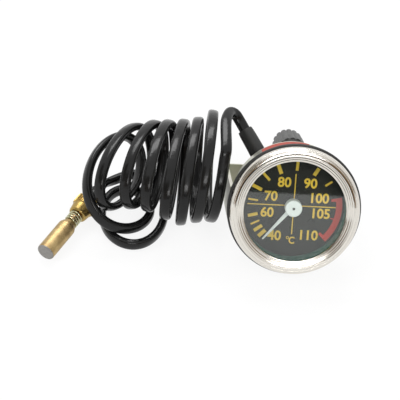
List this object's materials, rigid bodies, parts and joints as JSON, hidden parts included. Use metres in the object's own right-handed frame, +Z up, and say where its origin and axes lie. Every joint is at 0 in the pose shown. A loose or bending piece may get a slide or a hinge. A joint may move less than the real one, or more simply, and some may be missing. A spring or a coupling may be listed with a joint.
{
  "type": "water temperature gauge",
  "caption": "Round capillary temperature gauge for a dashboard: chromed dial head with a panel bracket and lamp holder, and a sheathed capillary wound in a hank, ending in a brass bulb.",
  "frame": {"origin": "on the surface that the gauge rests on, below the middle of the box of its head, measured without the capillary, boot and bulb", "axes": "+Z up; the dial faces -Y and leans back, so its axis rises 31.6 degrees towards -Y; the hank and bulb lie towards -X"},
  "size_m": [0.138, 0.0785, 0.0572],
  "materials": {
    "zinc": "zinc-plated sheet steel, passivated pale yellow-green",
    "chrome": "polished chrome plate",
    "rubber": "black moulded rubber",
    "glass": "clear window glass",
    "green_plastic": "translucent dark green plastic",
    "dial_black": "matt black enamel on aluminium",
    "red_paper": "bare red paper strip",
    "brass": "turned brass",
    "bronze": "drawn phosphor bronze and copper",
    "steel": "zinc-plated steel",
    "white": "white lacquer",
    "black_plastic": "black moulded plastic",
    "lamp_glass": "clear lamp glass",
    "sheath": "glossy black PVC sleeve",
    "solder": "dull grey dipped solder"
  },
  "bodies": {
    "case": {"case_can": "zinc", "bezel": "chrome", "panel_gasket": "rubber", "glass": "glass", "glass_seal": "rubber", "spacer_ring": "green_plastic", "dial_plate": "dial_black", "dial_screws": "dial_black", "dial_posts": "brass", "red_band": "red_paper", "back_plate": "brass", "front_plate": "brass", "plate_pillars": "brass", "plate_screws": "steel", "bourdon_tube": "bronze", "bourdon_socket": "brass", "inner_capillary": "bronze", "hairspring": "bronze", "rear_nipple": "zinc", "boot": "rubber", "studs": "steel", "sheath_lead": "sheath", "sheath_hank": "sheath", "sheath_tail": "sheath", "end_sleeve": "sheath", "neck_tube": "brass", "neck_spring": "steel", "bulb_body": "bronze", "bulb_tip": "solder"},
    "pointer": {"pinion": "brass", "spindle": "steel", "needle": "white", "needle_hub": "white"},
    "sector": {"sector_gear": "brass", "sector_arbor": "steel"},
    "link": {"tip_link": "steel"},
    "bracket": {"bracket": "zinc", "washers": "steel"},
    "nut_left": {"nut_left": "steel"},
    "nut_right": {"nut_right": "steel"},
    "lamp_unit": {"lamp_holder": "black_plastic", "lamp": "lamp_glass", "lamp_terminals": "steel"},
    "gland_nut": {"gland_nut": "brass"}
  },
  "joints": [
    {"name": "pointer_turn", "type": "hinge", "parent": "case", "child": "pointer", "pos_m": [0, -0.00687, 0.02471], "axis": [0, -0.8517, 0.5241], "range_deg": [-275, 0], "stiffness_Nm_per_rad": 0.0005, "deforming": ["hairspring", "bourdon_tube"]},
    {"name": "sector_turn", "type": "hinge", "parent": "case", "child": "sector", "pos_m": [-0.00694, -0.01207, 0.01627], "axis": [0, -0.8517, 0.5241], "range_deg": [0, 27.6]},
    {"name": "link_turn", "type": "hinge", "parent": "sector", "child": "link", "pos_m": [-0.00718, -0.01442, 0.01244], "axis": [0, -0.8517, 0.5241], "range_deg": [-27.6, 0]},
    {"name": "nut_left_turn", "type": "hinge", "parent": "bracket", "child": "nut_left", "pos_m": [-0.0145, 0.02434, 0.0055], "axis": [0, 0.8517, -0.5241], "range_deg": [0, 2057.3]},
    {"name": "nut_right_turn", "type": "hinge", "parent": "bracket", "child": "nut_right", "pos_m": [0.0145, 0.02434, 0.0055], "axis": [0, 0.8517, -0.5241], "range_deg": [0, 2057.3]},
    {"name": "bracket_slide", "type": "slide", "parent": "case", "child": "bracket", "axis": [0, 0.8517, -0.5241], "range_m": [0, 0.004]},
    {"name": "lamp_pull", "type": "slide", "parent": "case", "child": "lamp_unit", "axis": [0, 0.8517, -0.5241], "range_m": [0, 0.022]},
    {"name": "gland_nut_turn", "type": "hinge", "parent": "case", "child": "gland_nut", "pos_m": [-0.09126, 0.00136, 0.00539], "axis": [0.4874, 0.8721, 0.0444], "continuous": true}
  ],
  "couplings": [
    {"joint": "sector_turn", "follows": "pointer_turn", "ratio": -0.1},
    {"joint": "link_turn", "follows": "pointer_turn", "ratio": 0.1},
    {"joint": "nut_left_turn", "follows": "bracket_slide", "rad_per_m": 8976},
    {"joint": "nut_right_turn", "follows": "bracket_slide", "rad_per_m": 8976}
  ]
}
